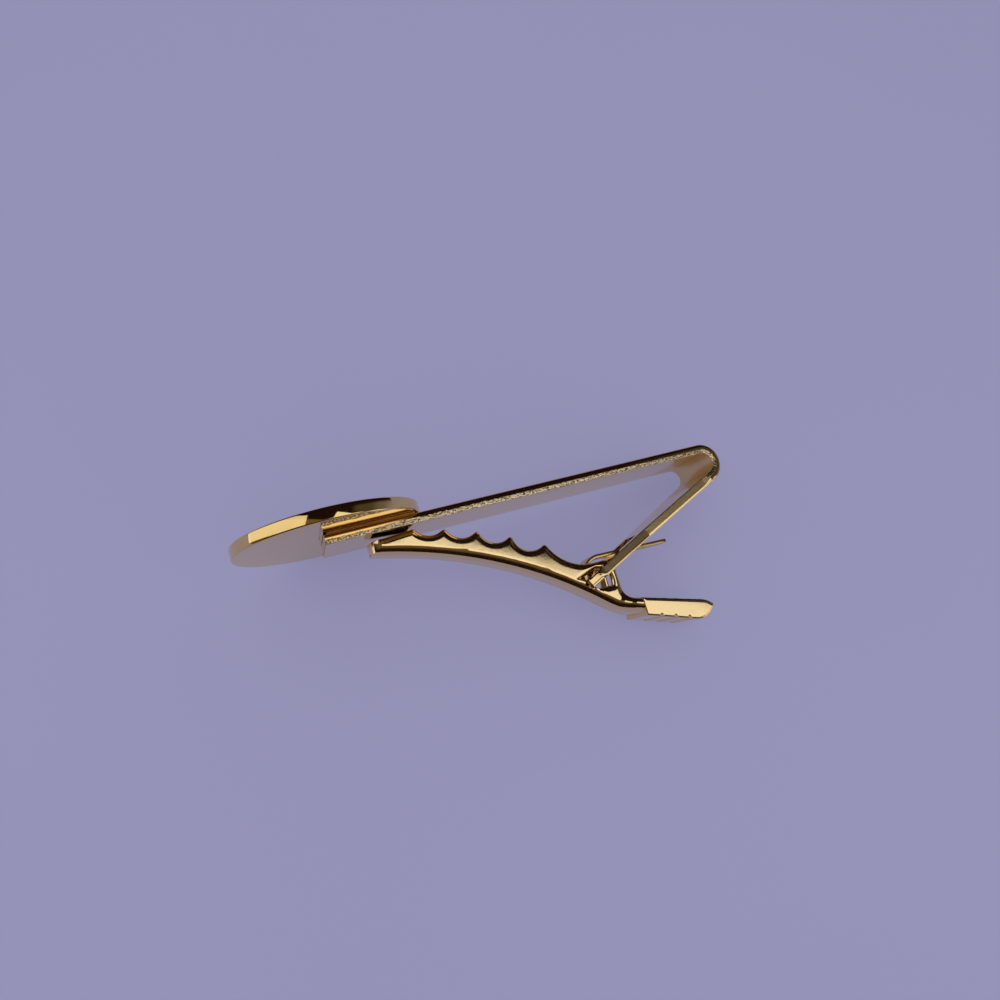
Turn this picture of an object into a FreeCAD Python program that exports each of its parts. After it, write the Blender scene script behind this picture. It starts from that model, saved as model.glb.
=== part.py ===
import FreeCAD, Part
import math
import os
import Sketcher
from FreeCAD import Vector

# Tie clip with a round front plate. X runs along the bar from the plate to the fold, Y points out of
# the front of the plate and Z runs across the width. The middle of the plate's front face is the origin.
# All lengths are in millimetres and all angles in degrees.

os.makedirs("parts", exist_ok=True)
doc = FreeCAD.newDocument("tie_clip")
dims = doc.addObject("Spreadsheet::Sheet", "dims")

sizes = {
    # round plate at the front
    "disc_diameter": 18.0,
    "disc_thickness": 1.2,
    "disc_edge": 0.12,
    # solder that holds the plate to the bar
    "film_thickness": 0.08,
    "film_inset": 0.3,
    # strip that makes the bar, the fold and the leg
    "sheet": 1.0,
    "bar_width": 7.4,
    "bar_overlap": 0.65,
    "bar_reach": 41.35,
    "fold_inner_radius": 1.1,
    "leg_angle": 24.2,
    "leg_length": 17.9,
    "taper_start": 0.5,
    "taper_length": 9.2,
    # end of the leg: side slots for the lever's walls, ears in their windows, fork round the spring
    "ear_length": 1.45,
    "ear_proud": 0.55,
    "neck_spare": 0.3,
    "hinge_clearance": 0.1,
    "side_clearance": 0.1,
    # lever: toothed channel, placed from the hinge
    "lever_width": 3.6,
    "lever_sheet": 0.5,
    "lever_corner": 1.0,
    "jaw_reach": 20.33,
    "jaw_rise": 8.316,
    "bite_gap": 0.16,
    "open_angle": 25.0,
    "floor_angle": 11.0,
    "floor_radius": 45.0,
    "floor_steep": 42.0,
    "heel_radius": 8.8,
    "heel_angle": 21.0,
    "nose_height": 0.9,
    "nose_wall": 0.6,
    "nose_corner": 1.3,
    "tooth_count": 5,
    "tooth_pitch": 2.9,
    "pitch_growth": 0.17,
    "tooth_first": 3.9,
    "tooth_height": 2.42,
    "tooth_growth": 0.18,
    "crest_radius": 0.28,
    "scallop_radius": 1.9,
    "ear_shoulder": 1.1,
    "ear_web": 0.62,
    "ear_column": 0.78,
    "ear_round": 1.2,
    "ear_foot": 1.2,
    "window_run": 0.9,
    "window_lead": 0.74,
    "window_gap_left": 0.51,
    "window_gap_top": 0.28,
    "window_gap_low": 0.2,
    # lever: thumb pad
    "pad_start": 4.5,
    "pad_below": 2.755,
    "pad_overlap": 1.2,
    "pad_angle": 17.0,
    "pad_width": 5.2,
    "pad_length": 8.0,
    "pad_height": 1.8,
    "pad_drop": 2.6,
    "pad_tip_run": 1.4,
    "pad_tip_drop": 0.5,
    "pad_toe_run": 2.0,
    "pad_corner_radius": 0.3,
    "pad_wall": 0.5,
    "pad_depth": 1.1,
    "pad_edge": 0.25,
    "groove_radius": 0.34,
    "groove_depth": 0.22,
    "groove_pitch": 1.55,
    "groove_count": 3,
    "groove_first": 1.55,
    # leaf spring
    "spring_sheet": 0.4,
    "spring_reach": 9.9,
    "spring_ahead": 1.8,
    "spring_rise": 0.7,
    "spring_tilt": 2.5,
    "spring_foot": 2.6,
    "spring_gap": 0.2,
    "slot_clearance": 0.25,
}

for row, (name, number) in enumerate(sizes.items(), start=1):
    dims.set("A%d" % row, name)
    dims.set("B%d" % row, "%.6g" % number)
    dims.setAlias("B%d" % row, name)
doc.recompute()


def size(name):
    return float(dims.get(name))


def polar(radius, degrees):
    turn = math.radians(degrees)
    return Vector(radius * math.cos(turn), radius * math.sin(turn), 0)


def origin_plane(body, role):
    for feature in body.Origin.OriginFeatures:
        if feature.Role == role:
            return feature
    raise RuntimeError("no plane " + role)


def new_body(name):
    body = doc.addObject("PartDesign::Body", name)
    body.Label = name
    return body


def new_sketch(body, name, role="XY_Plane"):
    sketch = body.newObject("Sketcher::SketchObject", name)
    sketch.AttachmentSupport = [(origin_plane(body, role), "")]
    sketch.MapMode = "FlatFace"
    return sketch


def line(start, end):
    return Part.LineSegment(start, end)


def arc(centre, radius, from_degrees, to_degrees):
    circle = Part.Circle(centre, Vector(0, 0, 1), radius)
    return Part.ArcOfCircle(circle, math.radians(from_degrees), math.radians(to_degrees))


def draw(sketch, pieces, smooth=()):
    # draws a closed outline and ties each piece's end to the start of the next, smoothly where asked
    first = sketch.GeometryCount
    for piece in pieces:
        sketch.addGeometry(piece, False)
    count = len(pieces)
    for step in range(count):
        here = pieces[step]
        after = pieces[(step + 1) % count]
        best = None
        for end_here, point_here in ((1, here.StartPoint), (2, here.EndPoint)):
            for end_after, point_after in ((1, after.StartPoint), (2, after.EndPoint)):
                gap = point_here.distanceToPoint(point_after)
                if best is None or gap < best[0]:
                    best = (gap, end_here, end_after)
        if best[0] > 1e-4:
            raise RuntimeError("%s: outline open by %.4f after piece %d" % (sketch.Name, best[0], step))
        following = first + (step + 1) % count
        tie = "Tangent" if step in smooth else "Coincident"
        sketch.addConstraint(Sketcher.Constraint(tie, first + step, best[1], following, best[2]))
    return first


def bind(sketch, kind, *reference, name, formula):
    # a dimension of the sketch that follows the sheet
    number = sketch.addConstraint(Sketcher.Constraint(kind, *reference))
    sketch.renameConstraint(number, name)
    sketch.setExpression("Constraints." + name, formula)


def pad(body, sketch, name, formula, midplane=True, reverse=False):
    feature = body.newObject("PartDesign::Pad", name)
    feature.Profile = sketch
    feature.Midplane = midplane
    feature.Reversed = reverse
    feature.setExpression("Length", formula)
    sketch.Visibility = False
    doc.recompute()
    return feature


def pocket(body, sketch, name, formula, midplane=True, reverse=False):
    before = body.Shape.Volume
    feature = body.newObject("PartDesign::Pocket", name)
    feature.Profile = sketch
    feature.Midplane = midplane
    feature.Reversed = reverse
    feature.setExpression("Length", formula)
    sketch.Visibility = False
    doc.recompute()
    if body.Shape.Volume > before - 1e-4:
        raise RuntimeError(name + " cuts nothing")
    return feature


def fillet(body, base, name, edges, formula):
    feature = body.newObject("PartDesign::Fillet", name)
    feature.Base = (base, edges)
    feature.setExpression("Radius", formula)
    doc.recompute()
    return feature


def edges_where(shape, test):
    found = []
    for number, edge in enumerate(shape.Edges, start=1):
        middle = edge.valueAt((edge.FirstParameter + edge.LastParameter) / 2)
        if test(edge, middle):
            found.append("Edge%d" % number)
    return found


# Places shared by several pieces
disc_back = -size("disc_thickness")
bar_front = disc_back - size("film_thickness")
bar_back = bar_front - size("sheet")
fold_outer = size("fold_inner_radius") + size("sheet")
fold_centre = Vector(size("bar_reach") - fold_outer, bar_front - fold_outer, 0)
leg_turn = size("leg_angle")
leg_along = polar(1.0, 180 + leg_turn)
leg_out = polar(1.0, leg_turn - 90)
leg_root = fold_centre + leg_out * fold_outer
half_sheet = size("sheet") / 2
hinge = leg_root + leg_along * size("leg_length") - leg_out * half_sheet
leg_back = -leg_along
leg_inner = -leg_out
neck_width = size("lever_width") - 2 * size("lever_sheet") - 2 * size("side_clearance")
spring_width = neck_width - 2 * size("side_clearance")
ear_width = size("lever_width") + 2 * size("ear_proud")
slot_half = spring_width / 2 + size("slot_clearance")

# The lever is drawn round the hinge and turned until its first tooth keeps the bite gap to the bar
floor_radius = size("floor_radius")
crest_radius = size("crest_radius")
first_turn = 90 - size("floor_angle") - math.degrees(size("tooth_first") / floor_radius)
first_crest = (
    Vector(-size("jaw_reach"), size("jaw_rise"), 0)
    - polar(floor_radius, 90 - size("floor_angle"))
    + polar(floor_radius + size("tooth_height") - crest_radius, first_turn)
)
bite_height = bar_back - size("bite_gap") - crest_radius - hinge.y
crest_turn = math.degrees(math.atan2(first_crest.y, first_crest.x))
tilt = 180 - math.degrees(math.asin(bite_height / first_crest.Length)) - crest_turn


def lever_polar(radius, degrees):
    return polar(radius, degrees + tilt)


def lever_arc(centre, radius, from_degrees, to_degrees):
    return arc(centre, radius, from_degrees + tilt, to_degrees + tilt)


def on_lever(ahead, above):
    return hinge + lever_polar(ahead, 0) + lever_polar(above, 90)


floor_start = on_lever(-size("jaw_reach"), size("jaw_rise"))
floor_centre = floor_start - lever_polar(floor_radius, 90 - size("floor_angle"))
floor_end = floor_centre + lever_polar(floor_radius, 90 - size("floor_steep"))
heel_centre = floor_end + lever_polar(size("heel_radius"), 90 - size("floor_steep"))
heel_end = heel_centre - lever_polar(size("heel_radius"), 90 - size("heel_angle"))

# Window in the lever's walls: a seat round the hinge that opens as far as the ears turn in it
window_reach = size("ear_length") + size("window_run")
seat_radius = half_sheet + size("hinge_clearance")
window_left = hinge - leg_back * size("window_lead") + leg_inner * (half_sheet + size("window_gap_left"))
window_top = hinge + leg_back * size("ear_length") + leg_inner * (half_sheet + size("window_gap_top"))
open_turn = leg_turn - size("open_angle")
low_drop = half_sheet + size("window_gap_low")
window_low = (
    hinge
    + polar(math.sqrt(window_reach ** 2 - low_drop ** 2), open_turn)
    + polar(low_drop, open_turn - 90)
)

# Round plate
front_disc = new_body("front_disc")
sketch = new_sketch(front_disc, "disc_outline", "XZ_Plane")
sketch.addGeometry(Part.Circle(Vector(0, 0, 0), Vector(0, 0, 1), size("disc_diameter") / 2), False)
sketch.addConstraint(Sketcher.Constraint("Coincident", 0, 3, -1, 1))
bind(sketch, "Diameter", 0, size("disc_diameter"), name="diameter", formula="dims.disc_diameter")
disc_pad = pad(front_disc, sketch, "disc_pad", "dims.disc_thickness", midplane=False)
if front_disc.Shape.BoundBox.YMax > 0.01:
    disc_pad.Reversed = True
    doc.recompute()
rims = edges_where(front_disc.Shape, lambda edge, middle: edge.Length > size("disc_diameter") * 3)
fillet(front_disc, disc_pad, "disc_rims", rims, "dims.disc_edge")

# Solder film between the plate and the bar, kept back from their edges
bond_film = new_body("bond_film")
sketch = new_sketch(bond_film, "film_outline", "XZ_Plane")
film_half = size("bar_width") / 2 - size("film_inset")
film_left = -size("bar_overlap") + size("film_inset")
film_right = math.sqrt((size("disc_diameter") / 2 - size("film_inset")) ** 2 - film_half ** 2)
corners = [
    Vector(film_left, -film_half, 0),
    Vector(film_right, -film_half, 0),
    Vector(film_right, film_half, 0),
    Vector(film_left, film_half, 0),
]
draw(sketch, [line(corners[i], corners[(i + 1) % 4]) for i in range(4)])
sketch.addConstraint(Sketcher.Constraint("Horizontal", 0))
sketch.addConstraint(Sketcher.Constraint("Horizontal", 2))
sketch.addConstraint(Sketcher.Constraint("Vertical", 1))
sketch.addConstraint(Sketcher.Constraint("Vertical", 3))
bind(sketch, "DistanceX", -1, 1, 0, 1, film_left, name="left", formula="dims.film_inset - dims.bar_overlap")
bind(sketch, "DistanceX", -1, 1, 0, 2, film_right, name="right",
     formula="sqrt(pow(dims.disc_diameter / 2 - dims.film_inset; 2)"
             " - pow(dims.bar_width / 2 - dims.film_inset; 2))")
bind(sketch, "DistanceY", 0, 2, 1, 2, 2 * film_half, name="width",
     formula="dims.bar_width - 2 * dims.film_inset")
bind(sketch, "DistanceY", 0, 2, -1, 1, film_half, name="half_width",
     formula="dims.bar_width / 2 - dims.film_inset")
film_pad = pad(bond_film, sketch, "film_pad", "dims.film_thickness", midplane=False)
sketch.setExpression("AttachmentOffset.Base.z", "dims.disc_thickness")
doc.recompute()
if bond_film.Shape.BoundBox.YMax > disc_back + 0.01:
    sketch.setExpression("AttachmentOffset.Base.z", "-dims.disc_thickness")
    film_pad.Reversed = True
    doc.recompute()

# Bar: one strip with its fold and its leg, and a round end on the hinge line
front_bar = new_body("front_bar")
sketch = new_sketch(front_bar, "bar_side")
leg_end_out = hinge + leg_out * half_sheet
leg_end_in = hinge - leg_out * half_sheet
leg_root_in = fold_centre + leg_out * size("fold_inner_radius")
end_turn = leg_turn - 90
draw(sketch, [
    line(Vector(-size("bar_overlap"), bar_front, 0), Vector(fold_centre.x, bar_front, 0)),
    arc(fold_centre, fold_outer, end_turn, 90),
    line(leg_root, leg_end_out),
    arc(hinge, half_sheet, 90 + leg_turn, 270 + leg_turn),
    line(leg_end_in, leg_root_in),
    arc(fold_centre, size("fold_inner_radius"), end_turn, 90),
    line(Vector(fold_centre.x, bar_back, 0), Vector(-size("bar_overlap"), bar_back, 0)),
    line(Vector(-size("bar_overlap"), bar_back, 0), Vector(-size("bar_overlap"), bar_front, 0)),
], smooth=(0, 1, 2, 3, 4, 5))
sketch.addConstraint(Sketcher.Constraint("Horizontal", 0))
sketch.addConstraint(Sketcher.Constraint("Vertical", 7))
sketch.addConstraint(Sketcher.Constraint("Coincident", 1, 3, 5, 3))
bind(sketch, "Radius", 5, size("fold_inner_radius"), name="fold_inner", formula="dims.fold_inner_radius")
bind(sketch, "Radius", 1, fold_outer, name="fold_outer", formula="dims.fold_inner_radius + dims.sheet")
bind(sketch, "DistanceX", 0, 1, -1, 1, size("bar_overlap"), name="overlap", formula="dims.bar_overlap")
bind(sketch, "DistanceX", -1, 1, 1, 3, fold_centre.x, name="fold_place",
     formula="dims.bar_reach - dims.fold_inner_radius - dims.sheet")
bind(sketch, "DistanceY", 0, 1, -1, 1, -bar_front, name="front_face",
     formula="dims.disc_thickness + dims.film_thickness")
bind(sketch, "Distance", 2, size("leg_length"), name="leg", formula="dims.leg_length")
pad(front_bar, sketch, "bar_pad", "dims.bar_width")

# Plan of the leg, drawn on its outer face: tapered sides, slots for the lever's walls, ears, fork and
# spring slot
bar_pad = front_bar.Tip
leg_face = None
for number, face in enumerate(front_bar.Shape.Faces, start=1):
    if face.Surface.TypeId == "Part::GeomPlane":
        if face.normalAt(0, 0).dot(leg_out) > 0.999:
            leg_face = "Face%d" % number
cuts = front_bar.newObject("Sketcher::SketchObject", "leg_plan")
cuts.AttachmentSupport = [(bar_pad, leg_face)]
cuts.MapMode = "FlatFace"
doc.recompute()
to_sketch = cuts.Placement.inverse()


def leg_point(along, across):
    point = to_sketch.multVec(leg_root + leg_along * along + Vector(0, 0, across))
    return Vector(point.x, point.y, 0)


def leg_outline(pairs):
    points = [leg_point(along, across) for along, across in pairs]
    draw(cuts, [line(points[i], points[(i + 1) % len(points)]) for i in range(len(points))])


beyond = size("bar_width")
ear_start = size("leg_length") - size("ear_length")
neck_start = size("leg_length") - window_reach - size("ear_column") - size("neck_spare")
taper_end = size("taper_start") + size("taper_length")
leg_half = ear_width / 2
neck_half = neck_width / 2
wall_half = size("lever_width") / 2 + size("side_clearance")
leg_tip = size("leg_length") + half_sheet + size("hinge_clearance")
for side in (-1, 1):
    leg_outline([
        (size("taper_start"), side * size("bar_width") / 2),
        (taper_end, side * leg_half),
        (leg_tip, side * leg_half),
        (leg_tip, side * beyond),
        (size("taper_start"), side * beyond),
    ])
    leg_outline([
        (neck_start, side * neck_half),
        (neck_start, side * wall_half),
        (ear_start, side * wall_half),
        (ear_start, side * neck_half),
    ])

# Middle line of the spring: upper arm, round bend and foot that lies just above the channel's floor
spring_half = size("spring_sheet") / 2
bend_centre = hinge + Vector(size("spring_ahead"), size("spring_rise"), 0)
arm_turn = -size("spring_tilt")
arm_along = polar(1.0, arm_turn)
arm_up = polar(1.0, arm_turn + 90)
foot_turn = tilt - size("floor_steep")
foot_along = polar(1.0, foot_turn)
foot_up = polar(1.0, foot_turn + 90)
floor_inner = floor_end + foot_up * size("lever_sheet")
bend_outer = (bend_centre - floor_inner).dot(foot_up) - size("spring_gap")
bend_radius = bend_outer - spring_half
bend_inner = bend_outer - size("spring_sheet")
arm_root = bend_centre + arm_up * bend_radius
arm_tip_x = hinge.x + size("spring_reach")
arm_tip = arm_root + arm_along * ((arm_tip_x - arm_root.x) / arm_along.x)
foot_root = bend_centre - foot_up * bend_radius
foot_tip = foot_root + foot_along * size("spring_foot")

# Fork in the leg's end that lets the bend of the spring pass
bend_away = bend_centre - hinge
bend_side = abs(bend_away.dot(leg_inner)) + half_sheet
bend_depth = bend_away.dot(leg_back) - math.sqrt(bend_inner ** 2 - bend_side ** 2)
fork_start = size("leg_length") - bend_depth - size("slot_clearance")
leg_outline([
    (fork_start, -neck_half),
    (fork_start, neck_half),
    (leg_tip, neck_half),
    (leg_tip, -neck_half),
])


def along_leg(point):
    return (point - leg_root).dot(leg_along)


def arm_meets_leg(rise, depth):
    # place along the leg where a line of the arm, rise above its middle, is depth inside the leg
    start = arm_root + arm_up * rise
    travel = (depth - (start - leg_root).dot(-leg_out)) / arm_along.dot(-leg_out)
    return along_leg(start + arm_along * travel)


crossings = [
    arm_meets_leg(rise, depth) for rise in (-spring_half, spring_half) for depth in (0, size("sheet"))
]
slot_start = min(crossings) - size("slot_clearance")
slot_end = max(crossings) + size("slot_clearance")
leg_outline([
    (slot_start, -slot_half),
    (slot_start, slot_half),
    (slot_end, slot_half),
    (slot_end, -slot_half),
])
pocket(front_bar, cuts, "leg_cut", "dims.sheet + dims.side_clearance", midplane=False)

# Lever: side view of the toothed channel. The floor is an arc that steepens towards the heel, where a
# second arc turns it back to the thumb pad.
lever = new_body("lever")
sketch = new_sketch(lever, "lever_side")
pad_line = lever_polar(1.0, -size("pad_angle"))
pad_up = lever_polar(1.0, 90 - size("pad_angle"))


def above_floor(along, height):
    # point at a length along the floor from the nose and a height above it
    turn = 90 - size("floor_angle") - math.degrees(along / floor_radius)
    return floor_centre + lever_polar(floor_radius + height, turn)


def towards(start, end):
    step = end - start
    return math.degrees(math.atan2(step.y, step.x))


crests = []
for tooth in range(int(size("tooth_count"))):
    along = size("tooth_first") + tooth * size("tooth_pitch") + tooth * (tooth - 1) / 2 * size("pitch_growth")
    height = size("tooth_height") + tooth * size("tooth_growth") - crest_radius
    crests.append(above_floor(along, height))


def scallop_centre(left, right):
    # centre of the round cut that touches two neighbouring crests from the bar's side
    middle = (left + right) * 0.5
    span = right - left
    reach = size("scallop_radius") + crest_radius
    rise = math.sqrt(reach ** 2 - (span.Length / 2) ** 2)
    side = Vector(-span.y, span.x, 0).normalize()
    return middle + side * rise


scallops = [scallop_centre(crests[i], crests[i + 1]) for i in range(len(crests) - 1)]
ear_top = (window_top - hinge).dot(lever_polar(1.0, 90)) + size("ear_web")
ear_back = window_reach + size("ear_column")
ear_round = size("ear_round")
ear_left = on_lever(size("ear_shoulder"), ear_top)
ear_centre = on_lever(ear_back - ear_round, ear_top - ear_round)
ear_right = on_lever(ear_back - ear_round, ear_top)
ear_side = on_lever(ear_back, ear_top - ear_round)
# hollow behind the last tooth, touching its crest and running level into the top of the ear
offset = ear_left - crests[-1]
sink = -offset.dot(lever_polar(1.0, 90))
hollow_radius = (offset.Length ** 2 - crest_radius ** 2) / (2 * (crest_radius + sink))
hollow = ear_left + lever_polar(hollow_radius, 90)
foot_radius = size("ear_foot")
pad_corner = on_lever(size("pad_start"), -size("pad_below"))
on_line = pad_corner + pad_up * foot_radius
level = lever_polar(1.0, 0)
foot_reach = (hinge - on_line).dot(level) + ear_back + foot_radius
foot_centre = on_line + pad_line * (foot_reach / pad_line.dot(level))
foot_start = foot_centre - level * foot_radius
foot_end = foot_centre - pad_up * foot_radius
channel_reach = size("pad_start") + size("pad_overlap")
floor_line = lever_polar(1.0, -size("heel_angle"))


def to_channel_end(start, direction):
    travel = channel_reach - (start - hinge).dot(level)
    return start + direction * (travel / direction.dot(level))


floor_far = to_channel_end(heel_end, floor_line)
top_far = to_channel_end(foot_end, pad_line)
nose_low = above_floor(0, size("lever_sheet") * 0.5)
nose_top = nose_low + lever_polar(size("nose_height"), 90)
first_side = towards(nose_top, crests[0])
reach = (crests[0] - nose_top).Length
nose_turn = first_side + math.degrees(math.asin(crest_radius / reach))
nose_touch = crests[0] + polar(crest_radius, nose_turn + 90)

outline = [line(floor_start, nose_low), line(nose_low, nose_top), line(nose_top, nose_touch)]
leaving = nose_turn + 90
for tooth, crest in enumerate(crests):
    cut = scallops[tooth] if tooth < len(scallops) else hollow
    cut_radius = size("scallop_radius") if tooth < len(scallops) else hollow_radius
    outline.append(arc(crest, crest_radius, towards(crest, cut), leaving))
    if tooth < len(scallops):
        outline.append(arc(cut, cut_radius, towards(cut, crest), towards(cut, crests[tooth + 1])))
        leaving = towards(crests[tooth + 1], cut)
outline += [
    arc(hollow, hollow_radius, towards(hollow, crests[-1]), towards(hollow, ear_left)),
    line(ear_left, ear_right),
    lever_arc(ear_centre, ear_round, 0, 90),
    line(ear_side, foot_start),
    lever_arc(foot_centre, foot_radius, 180, 270 - size("pad_angle")),
    line(foot_end, top_far),
    line(top_far, floor_far),
    line(floor_far, heel_end),
    lever_arc(heel_centre, size("heel_radius"), 270 - size("floor_steep"), 270 - size("heel_angle")),
    lever_arc(floor_centre, floor_radius, 90 - size("floor_steep"), 90 - size("floor_angle")),
]
draw(sketch, outline)
bind(sketch, "Radius", len(outline) - 1, floor_radius, name="floor", formula="dims.floor_radius")
bind(sketch, "Radius", len(outline) - 2, size("heel_radius"), name="heel", formula="dims.heel_radius")
channel = pad(lever, sketch, "channel_pad", "dims.lever_width")


def under_channel(edge, middle):
    if abs(abs(middle.z) - size("lever_width") / 2) > 1e-3 or edge.Length < 1.0:
        return False
    on_floor = abs((middle - floor_centre).Length - math.hypot(floor_radius, middle.z)) < 1e-3
    on_heel = abs((middle - heel_centre).Length - math.hypot(size("heel_radius"), middle.z)) < 1e-3
    on_line = abs((middle - heel_end).dot(lever_polar(1.0, 90 - size("heel_angle")))) < 1e-3
    return on_floor or on_heel or on_line


low_edges = edges_where(lever.Shape, under_channel)
corners = fillet(lever, channel, "channel_corners", low_edges, "dims.lever_corner")

# Thumb pad, drawn in its own direction from the upper corner where it starts
pad_wedge = size("pad_drop")
pad_under = lever_polar(1.0, -size("pad_angle") - pad_wedge)
low_start = pad_corner - lever_polar(size("pad_height") / math.cos(math.radians(size("pad_angle"))), 90)
pad_tip = pad_corner + pad_line * size("pad_length")
under_up = lever_polar(1.0, 90 - size("pad_angle") - pad_wedge)
# the pad ends in a beak: one arc falls to it from the top and another rises to it from the underside
tip_run = size("pad_tip_run")
tip_drop = size("pad_tip_drop")
toe_run = size("pad_toe_run")
beak = pad_tip - pad_up * tip_drop
lip_radius = (tip_run ** 2 + tip_drop ** 2) / (2 * tip_drop)
lip_bend = 2 * math.degrees(math.atan2(tip_drop, tip_run))
lip_top = pad_tip - pad_line * tip_run
lip_centre = lip_top - pad_up * lip_radius
toe_rise = (beak - low_start).dot(under_up)
toe_radius = (toe_run ** 2 + toe_rise ** 2) / (2 * toe_rise)
toe_bend = 2 * math.degrees(math.atan2(toe_rise, toe_run))
toe_start = beak - under_up * toe_rise - pad_under * toe_run
toe_centre = toe_start + under_up * toe_radius
top_turn = 90 - size("pad_angle")
under_turn = 270 - size("pad_angle") - pad_wedge
sketch = new_sketch(lever, "pad_side")
draw(sketch, [
    line(pad_corner, low_start),
    line(low_start, toe_start),
    lever_arc(toe_centre, toe_radius, under_turn, under_turn + toe_bend),
    lever_arc(lip_centre, lip_radius, top_turn - lip_bend, top_turn),
    line(lip_top, pad_corner),
], smooth=(1, 3))
bind(sketch, "Radius", 3, lip_radius, name="lip",
     formula="dims.pad_tip_run * dims.pad_tip_run / (2 * dims.pad_tip_drop) + dims.pad_tip_drop / 2")
pad(lever, sketch, "thumb_pad", "dims.pad_width")
pad_half = size("pad_width") / 2


def under_pad(edge, middle):
    low = abs((middle - low_start).dot(under_up)) < 1e-3
    return low and abs(abs(middle.z) - pad_half) < 1e-3


fillet(lever, lever.Tip, "pad_edges", edges_where(lever.Shape, under_pad), "dims.pad_edge")

# Round end of the pad, cut from above
top_face = None
for number, face in enumerate(lever.Shape.Faces, start=1):
    if face.Surface.TypeId == "Part::GeomPlane" and face.normalAt(0, 0).dot(pad_up) > 0.999:
        if abs((face.CenterOfMass - pad_corner).dot(pad_up)) < 1e-3 and face.Area > size("pad_width"):
            top_face = "Face%d" % number
ends = lever.newObject("Sketcher::SketchObject", "pad_plan")
ends.AttachmentSupport = [(lever.Tip, top_face)]
ends.MapMode = "FlatFace"
doc.recompute()
to_pad = ends.Placement.inverse()


def pad_point(along, across):
    point = to_pad.multVec(pad_corner + pad_line * along + Vector(0, 0, across))
    return Vector(point.x, point.y, 0)


def corner_turns(centre, flank, nose):
    # start and end angle of the quarter round between the flank and the nose, counted anticlockwise
    start = towards(centre, flank)
    end = towards(centre, nose)
    if (end - start) % 360 > 180:
        start, end = end, start
    return start, start + (end - start) % 360


corner = size("pad_corner_radius")
pad_far = size("pad_length")
past_end = pad_far + size("pad_height")
past_side = pad_half + size("pad_height")
for side in (-1, 1):
    centre = pad_point(pad_far - corner, side * (pad_half - corner))
    flank = pad_point(pad_far - corner, side * pad_half)
    nose = pad_point(pad_far, side * (pad_half - corner))
    start, end = corner_turns(centre, flank, nose)
    draw(ends, [
        arc(centre, corner, start, end),
        line(nose, pad_point(past_end, side * (pad_half - corner))),
        line(pad_point(past_end, side * (pad_half - corner)), pad_point(past_end, side * past_side)),
        line(pad_point(past_end, side * past_side), pad_point(pad_far - corner, side * past_side)),
        line(pad_point(pad_far - corner, side * past_side), flank),
    ])
pocket(lever, ends, "pad_round", "dims.pad_height + dims.pad_length", midplane=False)


# Round corners of the nose, cut from above
corner = size("nose_corner")
half = size("lever_width") / 2
ends = new_sketch(lever, "nose_plan", "XZ_Plane")
doc.recompute()
to_nose = ends.Placement.inverse()


def nose_point(ahead, across):
    point = to_nose.multVec(Vector(nose_low.x + ahead, 0, across))
    return Vector(point.x, point.y, 0)


for side in (-1, 1):
    centre = nose_point(corner, side * (half - corner))
    flank = nose_point(corner, side * half)
    nose = nose_point(0, side * (half - corner))
    start, end = corner_turns(centre, flank, nose)
    draw(ends, [
        arc(centre, corner, start, end),
        line(nose, nose_point(-corner, side * (half - corner))),
        line(nose_point(-corner, side * (half - corner)), nose_point(-corner, side * (half + corner))),
        line(nose_point(-corner, side * (half + corner)), nose_point(corner, side * (half + corner))),
        line(nose_point(corner, side * (half + corner)), flank),
    ])
pocket(lever, ends, "nose_round", "2 * dims.jaw_reach")

# Inside of the channel, from the nose to the pad
sketch = new_sketch(lever, "channel_inside")
thickness = size("lever_sheet")
start_turn = 90 - size("floor_angle") - math.degrees(size("nose_wall") / floor_radius)
inner_start = floor_centre + lever_polar(floor_radius + thickness, start_turn)
inner_heel = size("heel_radius") - thickness
heel_inner = heel_centre - lever_polar(inner_heel, 90 - size("heel_angle"))
inner_far = to_channel_end(heel_inner, floor_line)
clear_left = Vector(inner_start.x, bar_front, 0)
clear_right = Vector(inner_far.x, bar_front, 0)
draw(sketch, [
    line(clear_left, inner_start),
    lever_arc(floor_centre, floor_radius + thickness, 90 - size("floor_steep"), start_turn),
    lever_arc(heel_centre, inner_heel, 270 - size("floor_steep"), 270 - size("heel_angle")),
    line(heel_inner, inner_far),
    line(inner_far, clear_right),
    line(clear_right, clear_left),
])
bind(sketch, "Radius", 1, floor_radius + thickness, name="floor",
     formula="dims.floor_radius + dims.lever_sheet")
pocket(lever, sketch, "channel_cut", "dims.lever_width - 2 * dims.lever_sheet")

# Hollow of the pad
top_face = None
for number, face in enumerate(lever.Shape.Faces, start=1):
    if face.Surface.TypeId == "Part::GeomPlane" and face.normalAt(0, 0).dot(pad_up) > 0.999:
        if abs((face.CenterOfMass - pad_corner).dot(pad_up)) < 1e-3 and face.BoundBox.XMax > floor_far.x:
            top_face = "Face%d" % number
tray = lever.newObject("Sketcher::SketchObject", "pad_inside")
tray.AttachmentSupport = [(lever.Tip, top_face)]
tray.MapMode = "FlatFace"
doc.recompute()
to_pad = tray.Placement.inverse()
tray_half = pad_half - size("pad_wall")
tray_tip = size("pad_length") - size("pad_wall") - size("pad_tip_run")
tray_start = size("pad_wall") + size("pad_height") * math.sin(math.radians(size("pad_angle")))
draw(tray, [
    line(pad_point(tray_start, -tray_half), pad_point(tray_tip, -tray_half)),
    line(pad_point(tray_tip, -tray_half), pad_point(tray_tip, tray_half)),
    line(pad_point(tray_tip, tray_half), pad_point(tray_start, tray_half)),
    line(pad_point(tray_start, tray_half), pad_point(tray_start, -tray_half)),
])
pocket(lever, tray, "pad_cut", "dims.pad_depth", midplane=False)

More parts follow.
